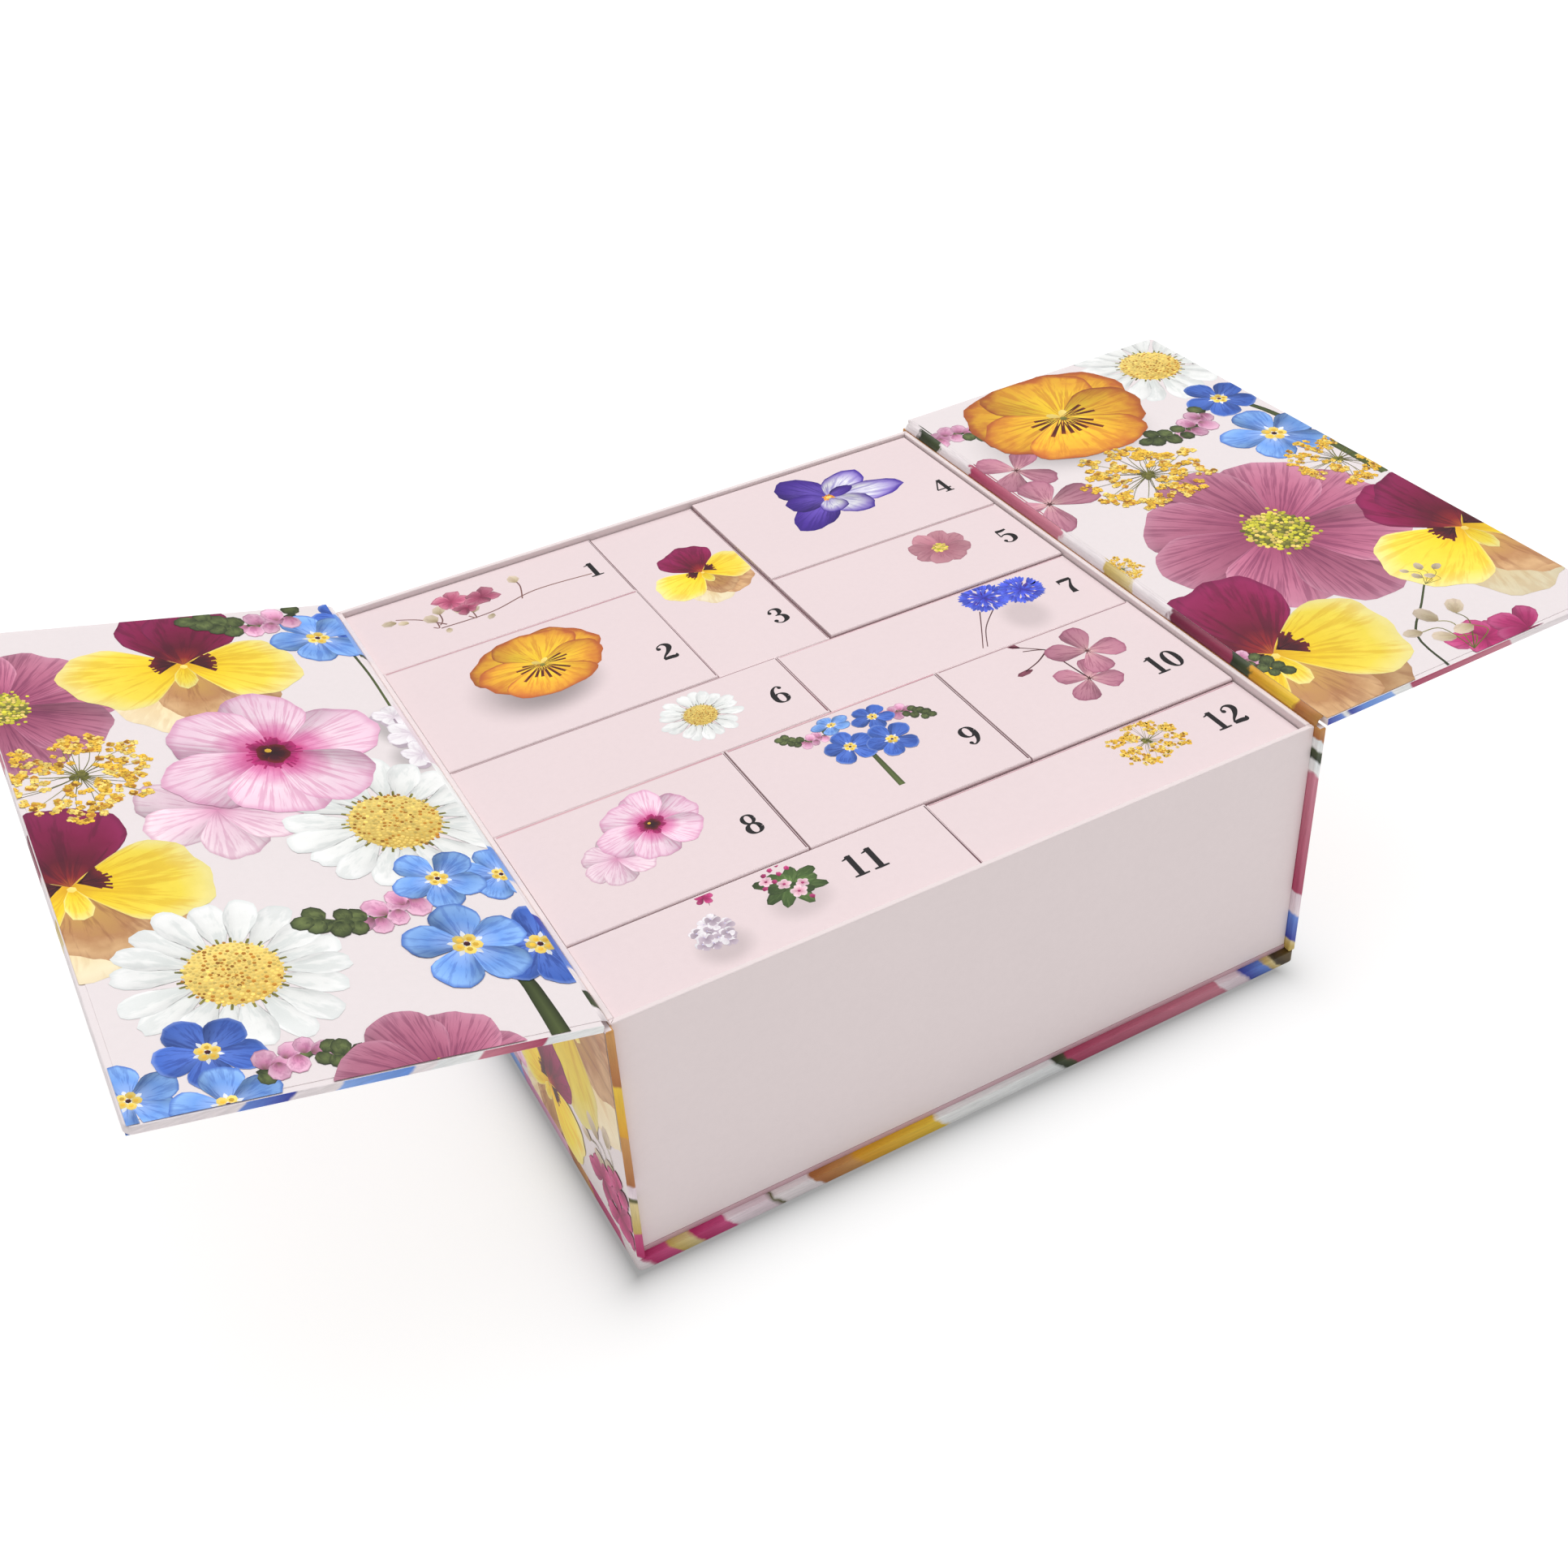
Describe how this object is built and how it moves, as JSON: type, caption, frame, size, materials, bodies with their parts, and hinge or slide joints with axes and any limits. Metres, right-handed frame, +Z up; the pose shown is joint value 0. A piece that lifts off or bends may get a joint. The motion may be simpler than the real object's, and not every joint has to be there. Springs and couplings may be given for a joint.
{
  "type": "gift box",
  "caption": "Low rigid card box whose flower-printed doors open flat to both sides over a tray packed with numbered flower-topped cartons that lift out and open.",
  "frame": {"origin": "centre of the base board's underside, on the surface the box stands on", "axes": "+X to the right along the front, across both doors; +Y towards the back, along the door hinges; +Z up"},
  "size_m": [0.5263, 0.2592, 0.1428],
  "materials": {
    "wrapped_board": "satin",
    "lining_paper": "satin",
    "tray_paper": "matte",
    "carton_card": "satin",
    "magnet": "matte",
    "plate_steel": "satin"
  },
  "bodies": {
    "case": {"base_board": "wrapped_board", "side_board_left": "wrapped_board", "side_board_right": "wrapped_board", "hinge_paper_left": "lining_paper", "hinge_paper_right": "lining_paper", "closure_plates": "plate_steel", "tray_floor": "tray_paper", "tray_front": "tray_paper", "tray_back": "tray_paper", "tray_left": "tray_paper", "tray_right": "tray_paper"},
    "door_left": {"door_left": "wrapped_board", "door_liner_left": "lining_paper", "door_magnets_left": "magnet"},
    "door_right": {"door_right": "wrapped_board", "door_liner_right": "lining_paper", "door_magnets_right": "magnet"},
    "carton_1": {"carton_1": "carton_card"},
    "carton_lid_1": {"carton_lid_1": "carton_card"},
    "carton_2": {"carton_2": "carton_card"},
    "carton_lid_2": {"carton_lid_2": "carton_card"},
    "carton_3": {"carton_3": "carton_card"},
    "carton_lid_3": {"carton_lid_3": "carton_card"},
    "carton_4": {"carton_4": "carton_card"},
    "carton_lid_4": {"carton_lid_4": "carton_card"},
    "carton_5": {"carton_5": "carton_card"},
    "carton_lid_5": {"carton_lid_5": "carton_card"},
    "carton_6": {"carton_6": "carton_card"},
    "carton_lid_6": {"carton_lid_6": "carton_card"},
    "carton_7": {"carton_7": "carton_card"},
    "carton_lid_7": {"carton_lid_7": "carton_card"},
    "carton_8": {"carton_8": "carton_card"},
    "carton_lid_8": {"carton_lid_8": "carton_card"},
    "carton_9": {"carton_9": "carton_card"},
    "carton_lid_9": {"carton_lid_9": "carton_card"},
    "carton_10": {"carton_10": "carton_card"},
    "carton_lid_10": {"carton_lid_10": "carton_card"},
    "carton_11": {"carton_11": "carton_card"},
    "carton_lid_11": {"carton_lid_11": "carton_card"},
    "carton_12": {"carton_12": "carton_card"},
    "carton_lid_12": {"carton_lid_12": "carton_card"}
  },
  "joints": [
    {"name": "door_left_hinge", "type": "hinge", "parent": "case", "child": "door_left", "pos_m": [-0.1328, 0, 0.1083], "axis": [0, -1, 0], "range_deg": [-165.5, 14.5], "deforming": ["hinge_paper_left"]},
    {"name": "door_right_hinge", "type": "hinge", "parent": "case", "child": "door_right", "pos_m": [0.1328, 0, 0.1083], "axis": [0, 1, 0], "range_deg": [-179, 1], "deforming": ["hinge_paper_right"]},
    {"name": "carton_1_lift", "type": "slide", "parent": "case", "child": "carton_1", "axis": [0, 0, 1], "range_m": [0, 0.1]},
    {"name": "carton_1_lid_fold", "type": "hinge", "parent": "carton_1", "child": "carton_lid_1", "pos_m": [-0.07555, 0.1244, 0.1042], "axis": [-1, 0, 0], "range_deg": [0, 95]},
    {"name": "carton_2_lift", "type": "slide", "parent": "case", "child": "carton_2", "axis": [0, 0, 1], "range_m": [0, 0.1]},
    {"name": "carton_2_lid_fold", "type": "hinge", "parent": "carton_2", "child": "carton_lid_2", "pos_m": [-0.07555, 0.0786, 0.1046], "axis": [-1, 0, 0], "range_deg": [0, 95]},
    {"name": "carton_3_lift", "type": "slide", "parent": "case", "child": "carton_3", "axis": [0, 0, 1], "range_m": [0, 0.1]},
    {"name": "carton_3_lid_fold", "type": "hinge", "parent": "carton_3", "child": "carton_lid_3", "pos_m": [0, 0.1244, 0.1036], "axis": [-1, 0, 0], "range_deg": [0, 95]},
    {"name": "carton_4_lift", "type": "slide", "parent": "case", "child": "carton_4", "axis": [0, 0, 1], "range_m": [0, 0.1]},
    {"name": "carton_4_lid_fold", "type": "hinge", "parent": "carton_4", "child": "carton_lid_4", "pos_m": [0.07555, 0.1244, 0.105], "axis": [-1, 0, 0], "range_deg": [0, 95]},
    {"name": "carton_5_lift", "type": "slide", "parent": "case", "child": "carton_5", "axis": [0, 0, 1], "range_m": [0, 0.1]},
    {"name": "carton_5_lid_fold", "type": "hinge", "parent": "carton_5", "child": "carton_lid_5", "pos_m": [0.07555, 0.0556, 0.1048], "axis": [-1, 0, 0], "range_deg": [0, 95]},
    {"name": "carton_6_lift", "type": "slide", "parent": "case", "child": "carton_6", "axis": [0, 0, 1], "range_m": [0, 0.1]},
    {"name": "carton_6_lid_fold", "type": "hinge", "parent": "carton_6", "child": "carton_lid_6", "pos_m": [-0.0639, 0.0096, 0.1044], "axis": [-1, 0, 0], "range_deg": [0, 95]},
    {"name": "carton_7_lift", "type": "slide", "parent": "case", "child": "carton_7", "axis": [0, 0, 1], "range_m": [0, 0.1]},
    {"name": "carton_7_lid_fold", "type": "hinge", "parent": "carton_7", "child": "carton_lid_7", "pos_m": [0.0639, 0.0096, 0.1038], "axis": [-1, 0, 0], "range_deg": [0, 95]},
    {"name": "carton_8_lift", "type": "slide", "parent": "case", "child": "carton_8", "axis": [0, 0, 1], "range_m": [0, 0.1]},
    {"name": "carton_8_lid_fold", "type": "hinge", "parent": "carton_8", "child": "carton_lid_8", "pos_m": [-0.08523, -0.0304, 0.1048], "axis": [-1, 0, 0], "range_deg": [0, 95]},
    {"name": "carton_9_lift", "type": "slide", "parent": "case", "child": "carton_9", "axis": [0, 0, 1], "range_m": [0, 0.1]},
    {"name": "carton_9_lid_fold", "type": "hinge", "parent": "carton_9", "child": "carton_lid_9", "pos_m": [0, -0.0304, 0.1046], "axis": [-1, 0, 0], "range_deg": [0, 95]},
    {"name": "carton_10_lift", "type": "slide", "parent": "case", "child": "carton_10", "axis": [0, 0, 1], "range_m": [0, 0.1]},
    {"name": "carton_10_lid_fold", "type": "hinge", "parent": "carton_10", "child": "carton_lid_10", "pos_m": [0.08523, -0.0304, 0.1044], "axis": [-1, 0, 0], "range_deg": [0, 95]},
    {"name": "carton_11_lift", "type": "slide", "parent": "case", "child": "carton_11", "axis": [0, 0, 1], "range_m": [0, 0.1]},
    {"name": "carton_11_lid_fold", "type": "hinge", "parent": "carton_11", "child": "carton_lid_11", "pos_m": [-0.0639, -0.0898, 0.1044], "axis": [-1, 0, 0], "range_deg": [0, 95]},
    {"name": "carton_12_lift", "type": "slide", "parent": "case", "child": "carton_12", "axis": [0, 0, 1], "range_m": [0, 0.1]},
    {"name": "carton_12_lid_fold", "type": "hinge", "parent": "carton_12", "child": "carton_lid_12", "pos_m": [0.0639, -0.0898, 0.1034], "axis": [-1, 0, 0], "range_deg": [0, 95]}
  ]
}
